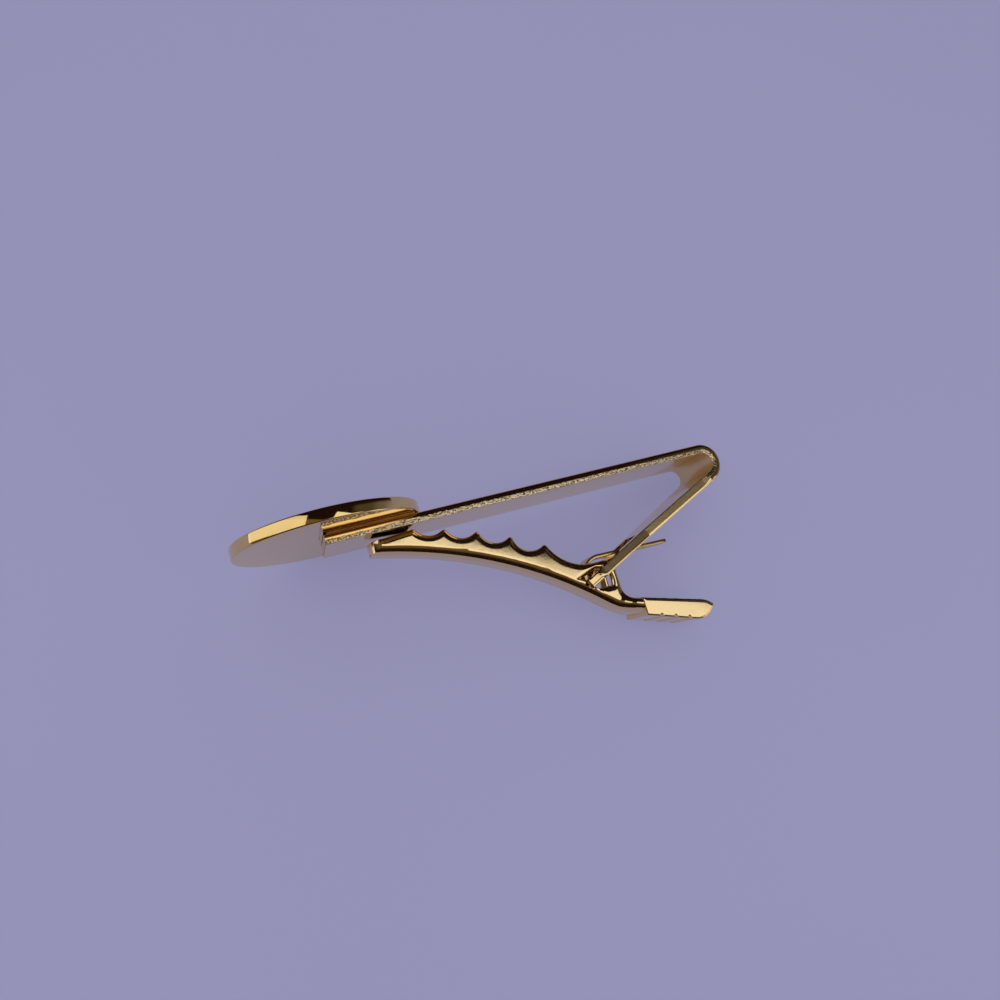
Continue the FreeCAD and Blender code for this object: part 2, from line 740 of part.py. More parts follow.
# Window for the ears
sketch = new_sketch(lever, "window")
window_back = leg_turn - 6
low_turn = towards(hinge, window_low)
seat_left = leg_turn + 125
seat_low = open_turn + 270
draw(sketch, [
    line(window_left, window_top),
    line(window_top, hinge + polar(window_reach, window_back)),
    arc(hinge, window_reach, low_turn, window_back),
    line(window_low, hinge + polar(seat_radius, seat_low)),
    arc(hinge, seat_radius, seat_left, seat_low),
    line(hinge + polar(seat_radius, seat_left), window_left),
])
bind(sketch, "Radius", 4, seat_radius, name="seat", formula="dims.sheet / 2 + dims.hinge_clearance")
bind(sketch, "Radius", 2, window_reach, name="reach", formula="dims.ear_length + dims.window_run")
pocket(lever, sketch, "window_cut", "dims.lever_width + 2 * dims.lever_sheet")

# Cross grooves under the pad
sketch = new_sketch(lever, "grooves")
for groove in range(int(size("groove_count"))):
    along = size("groove_first") + groove * size("groove_pitch")
    centre = low_start + pad_under * along - under_up * (size("groove_radius") - size("groove_depth"))
    number = sketch.addGeometry(Part.Circle(centre, Vector(0, 0, 1), size("groove_radius")), False)
    bind(sketch, "Radius", number, size("groove_radius"), name="groove%d" % groove,
         formula="dims.groove_radius")
pocket(lever, sketch, "groove_cut", "dims.pad_width + 2 * dims.groove_radius")

# Leaf spring: flat arm through the leg's slot, bend round the leg's end, foot on the channel's floor
leaf_spring = new_body("leaf_spring")
sketch = new_sketch(leaf_spring, "spring_side")
draw(sketch, [
    line(arm_tip + arm_up * spring_half, arm_root + arm_up * spring_half),
    arc(bend_centre, bend_outer, 90 + arm_turn, 270 + foot_turn),
    line(foot_root - foot_up * spring_half, foot_tip - foot_up * spring_half),
    line(foot_tip - foot_up * spring_half, foot_tip + foot_up * spring_half),
    line(foot_tip + foot_up * spring_half, foot_root + foot_up * spring_half),
    arc(bend_centre, bend_inner, 90 + arm_turn, 270 + foot_turn),
    line(arm_root - arm_up * spring_half, arm_tip - arm_up * spring_half),
    line(arm_tip - arm_up * spring_half, arm_tip + arm_up * spring_half),
])
bind(sketch, "Distance", 3, size("spring_sheet"), name="thickness", formula="dims.spring_sheet")
bind(sketch, "Distance", 2, size("spring_foot"), name="foot", formula="dims.spring_foot")
pad(leaf_spring, sketch, "spring_pad",
    "dims.lever_width - 2 * dims.lever_sheet - 4 * dims.side_clearance")

doc.recompute()
pieces = [front_disc, bond_film, front_bar, lever, leaf_spring]
for thing in doc.Objects:
    if "Invalid" in thing.State or "Error" in thing.State:
        raise RuntimeError("%s failed: %s" % (thing.Name, thing.State))
for piece in pieces:
    piece.Placement = FreeCAD.Placement()
    if piece.Shape.isNull() or not piece.Shape.isValid() or len(piece.Shape.Solids) != 1:
        raise RuntimeError(piece.Label + " is not one sound solid")
for piece in pieces:
    piece.Shape.exportStep("parts/%s.step" % piece.Label)
    box = piece.Shape.BoundBox
    print("%s: volume %.2f, x %.2f to %.2f, y %.2f to %.2f, z %.2f to %.2f" % (
        piece.Label, piece.Shape.Volume, box.XMin, box.XMax, box.YMin, box.YMax, box.ZMin, box.ZMax))
print("hinge at %.3f %.3f, lever turned %.3f" % (hinge.x, hinge.y, tilt))
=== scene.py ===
import math

import bmesh
import bpy
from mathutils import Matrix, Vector, noise
from mathutils.kdtree import KDTree


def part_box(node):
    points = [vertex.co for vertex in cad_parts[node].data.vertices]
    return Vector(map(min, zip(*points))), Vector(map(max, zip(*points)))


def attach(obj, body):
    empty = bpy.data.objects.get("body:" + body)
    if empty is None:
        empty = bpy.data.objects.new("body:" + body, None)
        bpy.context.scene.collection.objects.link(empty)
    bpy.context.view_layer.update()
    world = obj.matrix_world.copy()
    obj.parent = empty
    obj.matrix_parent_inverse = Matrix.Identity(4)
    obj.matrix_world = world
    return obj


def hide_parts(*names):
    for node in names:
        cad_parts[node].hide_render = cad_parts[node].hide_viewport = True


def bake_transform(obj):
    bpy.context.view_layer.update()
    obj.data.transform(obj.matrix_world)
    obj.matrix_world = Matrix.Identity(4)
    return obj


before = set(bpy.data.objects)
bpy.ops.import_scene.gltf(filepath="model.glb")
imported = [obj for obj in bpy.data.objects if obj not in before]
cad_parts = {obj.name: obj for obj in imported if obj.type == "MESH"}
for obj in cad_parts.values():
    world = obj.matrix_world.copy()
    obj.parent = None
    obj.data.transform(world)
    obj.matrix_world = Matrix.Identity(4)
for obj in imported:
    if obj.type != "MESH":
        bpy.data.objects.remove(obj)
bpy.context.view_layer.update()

mm = 0.001
scene = bpy.context.scene
scene.view_settings.view_transform = "Standard"
print("frame loaded:", ", ".join(sorted(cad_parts)))


# nodes and node groups
def addNode(tree, kind, **values):
    node = tree.nodes.new(kind)
    for name, value in values.items():
        if name in node.inputs:
            node.inputs[name].default_value = value
        else:
            setattr(node, name, value)
    return node


def wire(tree, source, output, target, entry):
    tree.links.new(source.outputs[output], target.inputs[entry])


def newGroup(name, entries, exits):
    group = bpy.data.node_groups.new(name, "ShaderNodeTree")
    for label, kind, value in entries:
        socket = group.interface.new_socket(label, in_out="INPUT", socket_type=kind)
        socket.default_value = value
    for label, kind in exits:
        group.interface.new_socket(label, in_out="OUTPUT", socket_type=kind)
    return group, group.nodes.new("NodeGroupInput"), group.nodes.new("NodeGroupOutput")


def addGroup(tree, group, **values):
    node = tree.nodes.new("ShaderNodeGroup")
    node.node_tree = group
    for name, value in values.items():
        node.inputs[name].default_value = value
    return node


def ramp(tree, stops, smooth=True):
    node = tree.nodes.new("ShaderNodeValToRGB")
    node.color_ramp.interpolation = "EASE" if smooth else "LINEAR"
    marks = node.color_ramp.elements
    while len(marks) < len(stops):
        marks.new(0.5)
    for mark, (place, colour) in zip(marks, stops):
        mark.position = place
        mark.color = (*colour, 1.0) if isinstance(colour, tuple) else (colour, colour, colour, 1.0)
    return node


floatSocket = "NodeSocketFloat"
colourSocket = "NodeSocketColor"
vectorSocket = "NodeSocketVector"


# plated tone: broad drift of colour with darker spots where the plating is thin
def buildPlateTone():
    group, entry, leave = newGroup(
        "plateTone",
        [("Place", vectorSocket, (0, 0, 0)), ("Gold", colourSocket, (0.88, 0.64, 0.27, 1)),
         ("Worn", colourSocket, (0.62, 0.42, 0.17, 1)), ("Patch", floatSocket, 420.0),
         ("Amount", floatSocket, 0.35)],
        [("Colour", colourSocket)])
    patch = addNode(group, "ShaderNodeTexNoise", Detail=5.0, Roughness=0.6)
    spread = ramp(group, [(0.45, 0.0), (0.8, 1.0)])
    share = addNode(group, "ShaderNodeMath", operation="MULTIPLY")
    mix = addNode(group, "ShaderNodeMix", data_type="RGBA")
    wire(group, entry, "Place", patch, "Vector")
    wire(group, entry, "Patch", patch, "Scale")
    wire(group, patch, "Fac", spread, "Fac")
    wire(group, spread, "Color", share, 0)
    wire(group, entry, "Amount", share, 1)
    wire(group, share, 0, mix, "Factor")
    wire(group, entry, "Gold", mix, 6)
    wire(group, entry, "Worn", mix, 7)
    wire(group, mix, 2, leave, "Colour")
    return group


# handling: hairline scratches, smudges and the slight unevenness of barrel polishing
def buildHandling():
    group, entry, leave = newGroup(
        "handling",
        [("Place", vectorSocket, (0, 0, 0)), ("Polish", floatSocket, 0.08), ("Smudge", floatSocket, 0.12),
         ("Hairline", floatSocket, 0.3), ("Peel", floatSocket, 0.5), ("PeelScale", floatSocket, 1800.0)],
        [("Roughness", floatSocket), ("Height", floatSocket)])
    smudge = addNode(group, "ShaderNodeTexNoise", Scale=260.0, Detail=4.0, Roughness=0.65, Distortion=0.6)
    smudgeMask = ramp(group, [(0.42, 0.0), (0.75, 1.0)])
    rough = addNode(group, "ShaderNodeMath", operation="MULTIPLY_ADD")
    turned = addNode(group, "ShaderNodeMapping")
    turned.inputs["Rotation"].default_value = (0.4, 0.3, 0.5)
    turned.inputs["Scale"].default_value = (300.0, 7000.0, 5200.0)
    hairs = addNode(group, "ShaderNodeTexNoise", Scale=1.0, Detail=3.0, Roughness=0.5, Distortion=0.2)
    hairMask = ramp(group, [(0.6, 0.0), (0.72, 1.0)])
    hairShare = addNode(group, "ShaderNodeMath", operation="MULTIPLY")
    peel = addNode(group, "ShaderNodeTexNoise", Detail=2.0, Roughness=0.45)
    peelShare = addNode(group, "ShaderNodeMath", operation="MULTIPLY")
    total = addNode(group, "ShaderNodeMath", operation="SUBTRACT")
    wire(group, entry, "Place", smudge, "Vector")
    wire(group, smudge, "Fac", smudgeMask, "Fac")
    wire(group, smudgeMask, "Color", rough, 0)
    wire(group, entry, "Smudge", rough, 1)
    wire(group, entry, "Polish", rough, 2)
    wire(group, entry, "Place", turned, "Vector")
    wire(group, turned, "Vector", hairs, "Vector")
    wire(group, hairs, "Fac", hairMask, "Fac")
    wire(group, hairMask, "Color", hairShare, 0)
    wire(group, entry, "Hairline", hairShare, 1)
    wire(group, entry, "Place", peel, "Vector")
    wire(group, entry, "PeelScale", peel, "Scale")
    wire(group, peel, "Fac", peelShare, 0)
    wire(group, entry, "Peel", peelShare, 1)
    wire(group, peelShare, 0, total, 0)
    wire(group, hairShare, 0, total, 1)
    wire(group, rough, 0, leave, "Roughness")
    wire(group, total, 0, leave, "Height")
    return group


# sheared edge: torn metal with an uneven border, in specks of painted glint and painted shade
def buildShear():
    group, entry, leave = newGroup(
        "shear",
        [("Place", vectorSocket, (0, 0, 0)), ("Share", floatSocket, 0.0), ("Grain", floatSocket, 5200.0)],
        [("Torn", floatSocket), ("GlintSpeck", floatSocket), ("Height", floatSocket)])
    wobble = addNode(group, "ShaderNodeTexNoise", Scale=5200.0, Detail=3.0)
    shifted = addNode(group, "ShaderNodeMath", operation="MULTIPLY_ADD")
    shifted.inputs[1].default_value = 0.9
    shifted.inputs[2].default_value = -0.45
    ragged = addNode(group, "ShaderNodeMath", operation="ADD")
    torn = ramp(group, [(0.4, 0.0), (0.6, 1.0)])
    stretch = addNode(group, "ShaderNodeMapping")
    stretch.inputs["Scale"].default_value = (1.0, 1.0, 0.4)
    grain = addNode(group, "ShaderNodeTexNoise", Detail=4.0, Roughness=0.7)
    glintSpeck = ramp(group, [(0.42, 0.0), (0.54, 1.0)])
    height = addNode(group, "ShaderNodeMath", operation="MULTIPLY")
    wire(group, entry, "Place", wobble, "Vector")
    wire(group, wobble, "Fac", shifted, 0)
    wire(group, entry, "Share", ragged, 0)
    wire(group, shifted, "Value", ragged, 1)
    wire(group, ragged, "Value", torn, "Fac")
    wire(group, entry, "Place", stretch, "Vector")
    wire(group, stretch, "Vector", grain, "Vector")
    wire(group, entry, "Grain", grain, "Scale")
    wire(group, grain, "Fac", glintSpeck, "Fac")
    wire(group, torn, "Color", height, 0)
    wire(group, grain, "Fac", height, 1)
    wire(group, torn, "Color", leave, "Torn")
    wire(group, glintSpeck, "Color", leave, "GlintSpeck")
    wire(group, height, "Value", leave, "Height")
    return group


plateTone = buildPlateTone()
handling = buildHandling()
shear = buildShear()
print("node groups built")


# materials
bumpDepth = 0.03 * mm
tornDepth = 0.06 * mm


def startMaterial(name):
    material = bpy.data.materials.new(name)
    material.use_nodes = True
    tree = material.node_tree
    tree.nodes.clear()
    leave = tree.nodes.new("ShaderNodeOutputMaterial")
    bsdf = tree.nodes.new("ShaderNodeBsdfPrincipled")
    wire(tree, bsdf, "BSDF", leave, "Surface")
    return material, tree, bsdf


def polishedGold(name, look):
    material, tree, bsdf = startMaterial(name)
    place = tree.nodes.new("ShaderNodeTexCoord")
    tone = addGroup(tree, plateTone, Gold=look["gold"], Worn=look["worn"], Amount=look["wear"])
    touch = addGroup(tree, handling, Polish=look["polish"], Smudge=look["smudge"],
                     Hairline=look["hairline"], Peel=look["peel"], PeelScale=look["peelScale"])
    bump = addNode(tree, "ShaderNodeBump", Strength=look["bump"], Distance=bumpDepth)
    bsdf.inputs["Metallic"].default_value = 1.0
    wire(tree, place, "Object", tone, "Place")
    wire(tree, place, "Object", touch, "Place")
    wire(tree, tone, "Colour", bsdf, "Base Color")
    wire(tree, touch, "Roughness", bsdf, "Roughness")
    wire(tree, touch, "Height", bump, "Height")
    wire(tree, bump, "Normal", bsdf, "Normal")
    return material


def strippedGold(name, look):
    material, tree, bsdf = startMaterial(name)
    place = tree.nodes.new("ShaderNodeTexCoord")
    depth = addNode(tree, "ShaderNodeAttribute", attribute_name="sheetDepth")
    share = addNode(tree, "ShaderNodeAttribute", attribute_name="tornShare")
    tone = addGroup(tree, plateTone, Gold=look["gold"], Worn=look["worn"], Amount=look["wear"])
    touch = addGroup(tree, handling, Polish=look["polish"], Smudge=look["smudge"],
                     Hairline=look["hairline"], Peel=look["peel"], PeelScale=look["peelScale"])
    cut = addGroup(tree, shear, Grain=look["grain"])
    # the torn part is coloured with painted glints and painted shade, mixed in specks
    tornGlintAndShade = addNode(tree, "ShaderNodeMix", data_type="RGBA")
    tornGlintAndShade.inputs[6].default_value = look["tornPaintedShade"]
    tornGlintAndShade.inputs[7].default_value = look["tornPaintedGlint"]
    colour = addNode(tree, "ShaderNodeMix", data_type="RGBA")
    rough = addNode(tree, "ShaderNodeMix", data_type="FLOAT")
    rough.inputs[3].default_value = look["tornRough"]
    fromBend = addNode(tree, "ShaderNodeVectorMath", operation="SUBTRACT")
    fromBend.inputs[1].default_value = look["bendCentre"]
    flatten = addNode(tree, "ShaderNodeVectorMath", operation="MULTIPLY")
    flatten.inputs[1].default_value = (1, 1, 0)
    reach = addNode(tree, "ShaderNodeVectorMath", operation="LENGTH")
    dulled = tree.nodes.new("ShaderNodeMapRange")
    dulled.interpolation_type = "SMOOTHSTEP"
    for entry, value in zip(("From Min", "From Max", "To Min", "To Max"), look["bendDull"]):
        dulled.inputs[entry].default_value = value
    inside = tree.nodes.new("ShaderNodeMapRange")
    inside.inputs["From Min"].default_value, inside.inputs["From Max"].default_value = look["innerFace"]
    worked = addNode(tree, "ShaderNodeMath", operation="MULTIPLY_ADD")
    scuffed = addNode(tree, "ShaderNodeMath", operation="MULTIPLY_ADD", use_clamp=True)
    scuffed.inputs[1].default_value = look["cutDull"]
    bump = addNode(tree, "ShaderNodeBump", Strength=look["bump"], Distance=bumpDepth)
    tornBump = addNode(tree, "ShaderNodeBump", Strength=look["tornBump"], Distance=tornDepth)
    bsdf.inputs["Metallic"].default_value = 1.0
    wire(tree, place, "Object", tone, "Place")
    wire(tree, place, "Object", touch, "Place")
    wire(tree, place, "Object", cut, "Place")
    wire(tree, share, "Fac", cut, "Share")
    wire(tree, cut, "GlintSpeck", tornGlintAndShade, "Factor")
    wire(tree, cut, "Torn", colour, "Factor")
    wire(tree, tone, "Colour", colour, 6)
    wire(tree, tornGlintAndShade, 2, colour, 7)
    wire(tree, colour, 2, bsdf, "Base Color")
    wire(tree, cut, "Torn", rough, "Factor")
    wire(tree, place, "Object", fromBend, 0)
    wire(tree, fromBend, "Vector", flatten, 0)
    wire(tree, flatten, "Vector", reach, 0)
    wire(tree, reach, "Value", dulled, "Value")
    wire(tree, depth, "Fac", inside, "Value")
    wire(tree, dulled, "Result", worked, 0)
    wire(tree, inside, "Result", worked, 1)
    wire(tree, touch, "Roughness", worked, 2)
    wire(tree, share, "Fac", scuffed, 0)
    wire(tree, worked, "Value", scuffed, 2)
    wire(tree, scuffed, "Value", rough, 2)
    wire(tree, rough, 0, bsdf, "Roughness")
    wire(tree, touch, "Height", bump, "Height")
    wire(tree, cut, "Height", tornBump, "Height")
    wire(tree, bump, "Normal", tornBump, "Normal")
    wire(tree, tornBump, "Normal", bsdf, "Normal")
    return material


# modelling steps that several pieces use
modelling = {"merge": 0.0005 * mm, "flat": math.radians(0.3), "join": 0.004 * mm, "onPlane": 1e-9,
             "facing": 0.9}


def copyOfNode(nodeName):
    bm = bmesh.new()
    bm.from_mesh(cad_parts[nodeName].data)
    bmesh.ops.remove_doubles(bm, verts=bm.verts, dist=modelling["merge"])
    bmesh.ops.dissolve_limit(bm, angle_limit=modelling["flat"], verts=bm.verts, edges=bm.edges)
    bm.normal_update()
    return bm


def sharpEdges(bm, test, least=35):
    found = []
    for edge in bm.edges:
        if len(edge.link_faces) == 2 and edge.is_convex and edge.calc_face_angle(0.0) > math.radians(least):
            if test(edge):
                found.append(edge)
    return found


def roundEdges(bm, edges, width, steps):
    bmesh.ops.bevel(bm, geom=edges, offset=width, offset_type="OFFSET", affect="EDGES", segments=steps,
                    profile=0.5, material=-1, clamp_overlap=False, loop_slide=True)
    bm.normal_update()


def cutRows(bm, faces, way, places):
    # rows of cuts across some faces, from one side to the other
    rest = list(faces)
    for place in places:
        edges = {edge for face in rest for edge in face.edges}
        verts = {vert for face in rest for vert in face.verts}
        cut = bmesh.ops.bisect_plane(bm, geom=[*verts, *edges, *rest], dist=modelling["onPlane"],
                                     plane_co=way * place, plane_no=way)
        found = [part for part in cut["geom"] if isinstance(part, bmesh.types.BMFace)]
        rest = [face for face in found if face.calc_center_median().dot(way) > place]
    bm.normal_update()


def steps(start, stop, pitch):
    count = max(1, round((stop - start) / pitch))
    return [start + (stop - start) * number / count for number in range(1, count)]


def rolled(distance, reach, fall):
    # how far a sheared surface falls back at a distance from its punched edge
    if distance >= reach:
        return 0.0
    return fall * (1 - math.sqrt(1 - (1 - max(0.0, distance) / reach) ** 2))


def eased(value, start, stop):
    share = min(1.0, max(0.0, (value - start) / (stop - start)))
    return share * share * (3 - 2 * share)


def midOf(edge):
    return (edge.verts[0].co + edge.verts[1].co) / 2


def makePiece(bm, name, material, crease=32):
    for face in bm.faces:
        face.smooth = True
    for edge in bm.edges:
        edge.smooth = edge.calc_face_angle(0.0) < math.radians(crease)
    mesh = bpy.data.meshes.new(name)
    bm.to_mesh(mesh)
    bm.free()
    mesh.materials.append(material)
    piece = bpy.data.objects.new(name, mesh)
    scene.collection.objects.link(piece)
    even = piece.modifiers.new("evenShading", "WEIGHTED_NORMAL")
    even.keep_sharp = True
    print("made", name, len(mesh.polygons), "faces")
    return piece


# round front plate
plate = {
    "radius": 9.0 * mm, "thickness": 1.2 * mm, "edge": 0.14 * mm, "edgeSteps": 4, "turns": 288,
    "flat": math.radians(0.1),
    "look": {"gold": (0.88, 0.64, 0.27, 1), "worn": (0.66, 0.46, 0.2, 1), "wear": 0.25, "polish": 0.045,
             "smudge": 0.04, "hairline": 0.08, "peel": 0.15, "peelScale": 700.0, "bump": 0.1},
}


def makePlate():
    bm = bmesh.new()
    radius, back = plate["radius"], -plate["thickness"]
    corners = [(0, 0), (radius, 0), (radius, back), (0, back)]
    points = [bm.verts.new((x, y, 0)) for x, y in corners]
    profile = [bm.edges.new(points[i:i + 2]) for i in range(3)]
    bmesh.ops.spin(bm, geom=points + profile, cent=(0, 0, 0), axis=(0, 1, 0), angle=math.tau,
                   steps=plate["turns"], use_merge=True)
    bmesh.ops.remove_doubles(bm, verts=bm.verts, dist=modelling["merge"])
    bmesh.ops.dissolve_limit(bm, angle_limit=plate["flat"], verts=bm.verts, edges=bm.edges)
    bmesh.ops.recalc_face_normals(bm, faces=bm.faces)
    bm.normal_update()
    rims = sharpEdges(bm, lambda edge: True, least=60)
    roundEdges(bm, rims, plate["edge"], plate["edgeSteps"])
    return makePiece(bm, "roundPlate", polishedGold("plateGold", plate["look"]))


roundPlate = makePlate()
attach(roundPlate, "bar")
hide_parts("front_disc")


# folded strip: bar, fold, leg and ears
foldCentre = Vector((39.25, -3.38, 0)) * mm
strip = {
    "sheet": 1.0 * mm, "foldCentre": foldCentre, "foldRadius": 2.1 * mm, "foldStep": 4.0, "foldGap": 0.2,
    "legTurn": math.radians(24.2), "legLength": 17.9 * mm, "legSpare": 1 * mm,
    "earHalf": 2.35 * mm, "earSlack": 0.02 * mm,
    "cutPitch": 0.1 * mm, "through": 0.9, "layers": 20, "crowding": 1.4,
    "tearGrain": 6000.0, "tearNoise": (0.8, 2.0, 3), "burr": 0.02 * mm,
    "tearBorder": (-0.03, 0.05), "burrShare": 0.03,
    # form of the sheared edge in shares of the sheet: rollover, where the tear starts, its lean, its
    # roughness and how torn it looks, where the torn look carries painted glints and painted shade
    "barEdge": {"reach": 0.4, "fall": 0.34, "tornFrom": 0.6, "lean": 0.05, "tear": 0.02, "torn": 1.0},
    "foldEdge": {"reach": 0.4, "fall": 0.34, "tornFrom": 0.6, "lean": 0.21, "tear": 0.02, "torn": 1.0},
    "legEdge": {"reach": 0.16, "fall": 0.14, "tornFrom": 0.26, "lean": 0.2, "tear": 0.004, "torn": 0.2},
    "earEdge": {"reach": 0.5, "fall": 0.4, "tornFrom": 0.9, "lean": 0.0, "tear": 0.0, "torn": 0.0},
    "legFrom": (0.0 * mm, 1.6 * mm), "earFrom": (16.0 * mm, 16.8 * mm), "shoulder": 0.05,
    "look": {"gold": (0.88, 0.66, 0.33, 1), "worn": (0.62, 0.43, 0.2, 1), "wear": 0.25, "polish": 0.05,
             "smudge": 0.04, "hairline": 0.04, "peel": 0.2, "peelScale": 900.0, "bump": 0.1,
             "grain": 7000.0,
             # the torn edge's dark and bright specks are painted shade and painted glints
             "tornPaintedShade": (0.16, 0.08, 0.03, 1), "tornPaintedGlint": (0.95, 0.8, 0.56, 1), "tornRough": 0.2,
             "tornBump": 0.45, "cutDull": 1.3, "innerFace": (0.96, 0.995),
             "bendCentre": foldCentre, "bendDull": (2.0 * mm, 3.6 * mm, 0.28, 0.0)},
}


def legWay():
    return Vector((-math.cos(strip["legTurn"]), -math.sin(strip["legTurn"]), 0))


def legOut():
    return Vector((math.sin(strip["legTurn"]), -math.cos(strip["legTurn"]), 0))


def stripPlace(point):
    # which run of the strip a point is in, its depth under the punch side and the way to the burr side
    offset = Vector((point.x, point.y, 0)) - strip["foldCentre"]
    if offset.x <= modelling["onPlane"] and offset.y > 0:
        run, depth, way = "bar", strip["foldRadius"] - offset.y, Vector((0, -1, 0))
    elif offset.dot(legWay()) >= -modelling["onPlane"] and offset.dot(legOut()) > 0:
        run, depth, way = "leg", strip["foldRadius"] - offset.dot(legOut()), -legOut()
    else:
        run, depth, way = "fold", strip["foldRadius"] - offset.length, -offset.normalized()
    return run, depth / strip["sheet"], way


def foldAngle(point):
    offset = point - strip["foldCentre"]
    return math.degrees(math.atan2(offset.y, offset.x))


def roundFold(bm):
    # cuts the fold at every corner of its outline and between, and sets it on true arcs
    centre = strip["foldCentre"]
    for way, strayWay in ((Vector((1, 0, 0)), Vector((0, -1, 0))), (legWay(), Vector((0, 1, 0)))):
        everything = [*bm.verts, *bm.edges, *bm.faces]
        cut = bmesh.ops.bisect_plane(bm, geom=everything, dist=modelling["onPlane"],
                                     plane_co=centre, plane_no=way)
        border = [part for part in cut["geom_cut"] if isinstance(part, bmesh.types.BMEdge)]
        stray = [edge for edge in border if (midOf(edge) - centre).dot(strayWay) > 0]
        bmesh.ops.dissolve_edges(bm, edges=stray, use_verts=True)
    first, last = math.degrees(strip["legTurn"]) - 90, 90.0
    turns = sorted({round(foldAngle(vert.co), 2) for vert in bm.verts if stripPlace(vert.co)[0] == "fold"})
    lowest, highest = first + strip["foldGap"], last - strip["foldGap"]
    turns = [first] + [turn for turn in turns if lowest < turn < highest] + [last]
    cuts = []
    for low, high in zip(turns, turns[1:]):
        cuts += [low] if low > first else []
        cuts += steps(low, high, strip["foldStep"])
    for turn in cuts:
        way = Vector((-math.sin(math.radians(turn)), math.cos(math.radians(turn)), 0))
        faces = [face for face in bm.faces if stripPlace(face.calc_center_median())[0] == "fold"]
        edges = {edge for face in faces for edge in face.edges}
        verts = {vert for face in faces for vert in face.verts}
        bmesh.ops.bisect_plane(bm, geom=[*verts, *edges, *faces], dist=modelling["onPlane"],
                               plane_co=centre, plane_no=way)
    for vert in bm.verts:
        run, depth, way = stripPlace(vert.co)
        if run == "fold":
            vert.co += way * strip["sheet"] * (round(depth) - depth)
    bm.normal_update()


def facesSideways(face):
    return abs(face.normal.z) > modelling["facing"]


def shearedSides(bm, run):
    found = []
    for face in bm.faces:
        if facesSideways(face) and stripPlace(face.calc_center_median())[0] == run:
            found.append(face)
    return found


def edgeForm(point, run):
    # the bar's edge changes along its length, the leg's is cut cleaner and the ears' is pressed smooth
    along = (point - strip["foldCentre"]).dot(legWay())
    toFold = eased(point.x, 0.0, strip["foldCentre"].x)
    toLeg = eased(along, *strip["legFrom"]) if run == "leg" else 0.0
    toEar = eased(along, *strip["earFrom"]) if run == "leg" else 0.0
    form = {}
    for name in strip["barEdge"]:
        value = strip["barEdge"][name] + (strip["foldEdge"][name] - strip["barEdge"][name]) * toFold
        value += (strip["legEdge"][name] - value) * toLeg
        form[name] = value + (strip["earEdge"][name] - value) * toEar
    form["shoulder"] = strip["shoulder"] * toLeg * (1 - toEar)
    return form


def edgeFall(depth, form, point):
    # how far the edge lies behind its plain face, and how torn it is there
    start, stop = [form["tornFrom"] + border for border in strip["tearBorder"]]
    torn = eased(depth, start, stop) * min(1.0, (1 - depth) / strip["burrShare"])
    back = rolled(depth, form["reach"], form["fall"])
    back += form["shoulder"] * max(0.0, form["tornFrom"] - depth)
    back += form["lean"] * max(0.0, depth - form["tornFrom"])
    back += form["tear"] * torn * noise.fractal(point * strip["tearGrain"], *strip["tearNoise"])
    back += rolled(1 - depth, strip["burr"] / mm, strip["burr"] / mm)
    return back * strip["sheet"], torn * form["torn"]


def makeStrip():
    bm = copyOfNode("front_bar")
    roundFold(bm)
    bmesh.ops.remove_doubles(bm, verts=bm.verts, dist=modelling["join"])
    bm.normal_update()
    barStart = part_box("front_bar")[0].x
    barCuts = steps(barStart, strip["foldCentre"].x, strip["cutPitch"])
    cutRows(bm, shearedSides(bm, "bar"), Vector((1, 0, 0)), barCuts)
    legStart = strip["foldCentre"].dot(legWay())
    legCuts = steps(legStart, legStart + strip["legLength"] + strip["legSpare"], strip["cutPitch"])
    cutRows(bm, shearedSides(bm, "leg"), legWay(), legCuts)
    through = []
    for edge in bm.edges:
        depths = [stripPlace(vert.co)[1] for vert in edge.verts]
        if abs(depths[0] - depths[1]) > strip["through"] and any(map(facesSideways, edge.link_faces)):
            through.append(edge)
    bmesh.ops.subdivide_edges(bm, edges=through, cuts=strip["layers"], use_grid_fill=True)
    bm.normal_update()
    tornLayer = bm.verts.layers.float.new("tornShare")
    depthLayer = bm.verts.layers.float.new("sheetDepth")
    # rollover on the punch side, torn metal below it
    moved = []
    for vert in bm.verts:
        sides = [face.normal.z for face in vert.link_faces if facesSideways(face)]
        if sides and abs(vert.co.z) > strip["earHalf"] - strip["earSlack"]:
            moved.append((vert, math.copysign(1.0, sides[0]), *stripPlace(vert.co)))
    for vert, side, run, depth, way in moved:
        spaced = max(0.0, depth) ** strip["crowding"]
        vert.co += way * (spaced - depth) * strip["sheet"]
        back, vert[tornLayer] = edgeFall(spaced, edgeForm(vert.co, run), vert.co)
        vert.co.z -= side * back
    for vert in bm.verts:
        vert[depthLayer] = min(1.0, max(0.0, stripPlace(vert.co)[1]))
    bm.normal_update()
    return makePiece(bm, "foldedStrip", strippedGold("stripGold", strip["look"]), crease=50)


foldedStrip = makeStrip()
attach(foldedStrip, "bar")
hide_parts("front_bar")


# toothed lever with its thumb pad
lever = {
    "halfWidth": 1.8 * mm, "padHalf": 2.6 * mm, "cutPitch": 0.07 * mm, "spotPitch": 0.02 * mm,
    "sideSlack": 0.002 * mm, "sideFacing": 0.99, "flareSlack": 0.01 * mm,
    "wallRoll": (0.62 * mm, 0.26 * mm), "padRoll": (0.3 * mm, 0.1 * mm),
    "flareCut": 25.0 * mm, "flareStart": 25.9 * mm, "flareEnd": 28.08 * mm, "flarePitch": 0.2 * mm,
    "flareLean": 0.6, "flareLevel": -14.5 * mm,
    "look": {"gold": (0.9, 0.68, 0.36, 1), "worn": (0.74, 0.55, 0.28, 1), "wear": 0.25, "polish": 0.07,
             "smudge": 0.04, "hairline": 0.03, "peel": 0.25, "peelScale": 2600.0, "bump": 0.1},
}


def isSide(face, half):
    onSide = abs(abs(face.calc_center_median().z) - half) < lever["sideSlack"]
    return onSide and abs(face.normal.z) > lever["sideFacing"]


